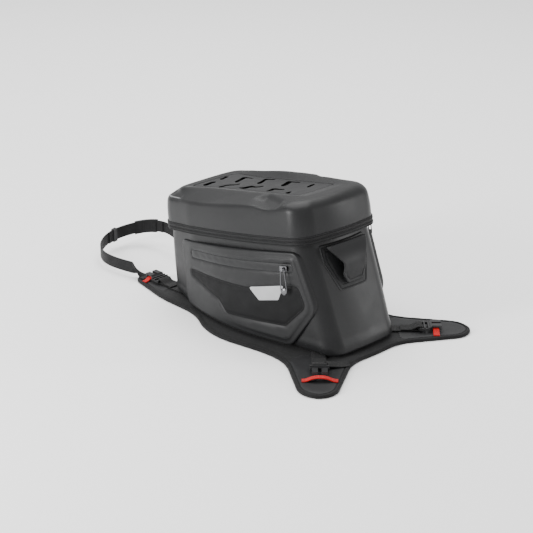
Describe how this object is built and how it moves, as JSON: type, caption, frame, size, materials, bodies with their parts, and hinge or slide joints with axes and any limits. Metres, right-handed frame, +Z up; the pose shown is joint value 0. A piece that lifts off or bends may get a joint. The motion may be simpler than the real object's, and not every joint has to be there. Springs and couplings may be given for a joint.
{
  "type": "motorcycle tank bag",
  "caption": "Moulded tank bag with a zipped lid, slotted top panel, side pockets and rear grab handle, on a four-wing harness with hooks and a front strap.",
  "frame": {"origin": "on the ground, under the middle of the footprint, harness and front strap included", "axes": "+Z up, +Y towards the front of the motorcycle, +X to the rider's right"},
  "size_m": [0.3264, 0.6326, 0.2148],
  "materials": {
    "shell": "satin moulded thermoplastic skin over foam",
    "harness_cloth": "coated black fabric",
    "grip_rubber": "soft anti-slip rubber",
    "edge_binding": "woven black binding tape",
    "foam": "closed-cell foam",
    "wing_panel": "rubberised panel",
    "lining": "light grey coated lining",
    "stiffener": "plain sheet",
    "zip_band": "matt water-resistant zip tape",
    "dark_backing": "black fabric",
    "slot_panel": "laser-cut rubberised panel",
    "net": "fine black net",
    "zip_tape": "satin water-resistant zip tape",
    "inset_cloth": "dark coated cloth",
    "reflective": "light grey reflective film",
    "handle_rubber": "moulded soft grip",
    "webbing": "woven black webbing",
    "red_webbing": "woven red webbing",
    "hook_plastic": "moulded black nylon",
    "dark_metal": "black coated",
    "puller_rubber": "moulded black rubber",
    "silver_metal": "satin nickel"
  },
  "bodies": {
    "bag": {"harness_pad": "harness_cloth", "grip_lining": "grip_rubber", "harness_binding": "edge_binding", "underside_pad": "foam", "wing_panel_rear_left": "wing_panel", "wing_panel_rear_right": "wing_panel", "wing_panel_front_left": "wing_panel", "wing_panel_front_right": "wing_panel", "bag_shell": "shell", "inner_lining": "lining", "base_board": "stiffener", "rim_frame": "stiffener", "zip_band_lower": "zip_band", "hinge_welt": "zip_band", "pocket_left": "shell", "pocket_right": "shell", "pocket_zip_left": "zip_tape", "pocket_zip_right": "zip_tape", "pocket_inset_left": "inset_cloth", "pocket_inset_right": "inset_cloth", "reflector_left": "reflective", "reflector_right": "reflective", "handle_patch": "handle_rubber", "grab_handle": "handle_rubber", "webbing_tail": "webbing", "front_strap": "webbing", "strap_end_left": "webbing", "strap_end_right": "webbing", "strap_tail": "webbing", "strap_sleeve": "webbing", "strap_keeper": "hook_plastic", "red_loop_front_left": "red_webbing", "webbing_tab_front_left": "webbing", "red_loop_front_right": "red_webbing", "webbing_tab_front_right": "webbing", "red_loop_rear_left": "red_webbing", "webbing_tab_rear_left": "webbing", "red_loop_rear_right": "red_webbing", "webbing_tab_rear_right": "webbing"},
    "lid": {"lid_shell": "shell", "zip_band_upper": "zip_band", "lid_panel_backing": "dark_backing", "lid_slot_panel": "slot_panel", "lid_lining": "lining", "lid_net_pocket": "net", "lid_net_hem": "edge_binding"},
    "hook_front_left": {"hook_front_left": "hook_plastic"},
    "hook_front_right": {"hook_front_right": "hook_plastic"},
    "hook_rear_left": {"hook_rear_left": "hook_plastic"},
    "hook_rear_right": {"hook_rear_right": "hook_plastic"},
    "lid_zip_slider": {"lid_zip_slider": "dark_metal"},
    "lid_zip_puller": {"lid_zip_puller": "puller_rubber"},
    "pocket_slider_left": {"pocket_slider_left": "silver_metal"},
    "pocket_puller_left": {"pocket_puller_left": "silver_metal"},
    "pocket_slider_right": {"pocket_slider_right": "silver_metal"},
    "pocket_puller_right": {"pocket_puller_right": "silver_metal"}
  },
  "joints": [
    {"name": "lid_open", "type": "hinge", "parent": "bag", "child": "lid", "pos_m": [0, 0.10723, 0.11482], "axis": [-1, 0, 0], "range_deg": [0, 100]},
    {"name": "hook_lift_front_left", "type": "hinge", "parent": "bag", "child": "hook_front_left", "pos_m": [-0.046, 0.129, 0.0102], "axis": [1, 0, 0], "range_deg": [0, 60]},
    {"name": "hook_lift_front_right", "type": "hinge", "parent": "bag", "child": "hook_front_right", "pos_m": [0.046, 0.129, 0.0102], "axis": [1, 0, 0], "range_deg": [0, 60]},
    {"name": "hook_lift_rear_left", "type": "hinge", "parent": "bag", "child": "hook_rear_left", "pos_m": [-0.09854, -0.25454, 0.0102], "axis": [-0.7071, 0.7071, 0], "range_deg": [0, 60]},
    {"name": "hook_lift_rear_right", "type": "hinge", "parent": "bag", "child": "hook_rear_right", "pos_m": [0.10044, -0.26144, 0.0102], "axis": [-0.7071, -0.7071, 0], "range_deg": [0, 60]},
    {"name": "lid_zip_slide", "type": "hinge", "parent": "bag", "child": "lid_zip_slider", "pos_m": [-0.81244, -0.06075, 0.14173], "axis": [0, 0.1582, 0.9874], "range_deg": [0, 9.6]},
    {"name": "lid_zip_puller_swing", "type": "hinge", "parent": "lid_zip_slider", "child": "lid_zip_puller", "pos_m": [0.08577, -0.17161, 0.15949], "axis": [-0.124, -0.9798, 0.1569], "range_deg": [0, 120]},
    {"name": "pocket_zip_left_slide", "type": "hinge", "parent": "bag", "child": "pocket_slider_left", "pos_m": [0.32829, -0.07613, 0.09725], "axis": [-0.0234, -0.156, -0.9875], "range_deg": [0, 24.1]},
    {"name": "pocket_zip_left_puller_swing", "type": "hinge", "parent": "pocket_slider_left", "child": "pocket_puller_left", "pos_m": [-0.08573, -0.17015, 0.1219], "axis": [-0.2274, 0.9627, -0.1467], "range_deg": [0, 120]},
    {"name": "pocket_zip_right_slide", "type": "hinge", "parent": "bag", "child": "pocket_slider_right", "pos_m": [-0.32829, -0.07613, 0.09725], "axis": [-0.0234, 0.156, 0.9875], "range_deg": [0, 24.1]},
    {"name": "pocket_zip_right_puller_swing", "type": "hinge", "parent": "pocket_slider_right", "child": "pocket_puller_right", "pos_m": [0.08573, -0.17015, 0.1219], "axis": [-0.2274, -0.9627, 0.1467], "range_deg": [0, 120]}
  ]
}
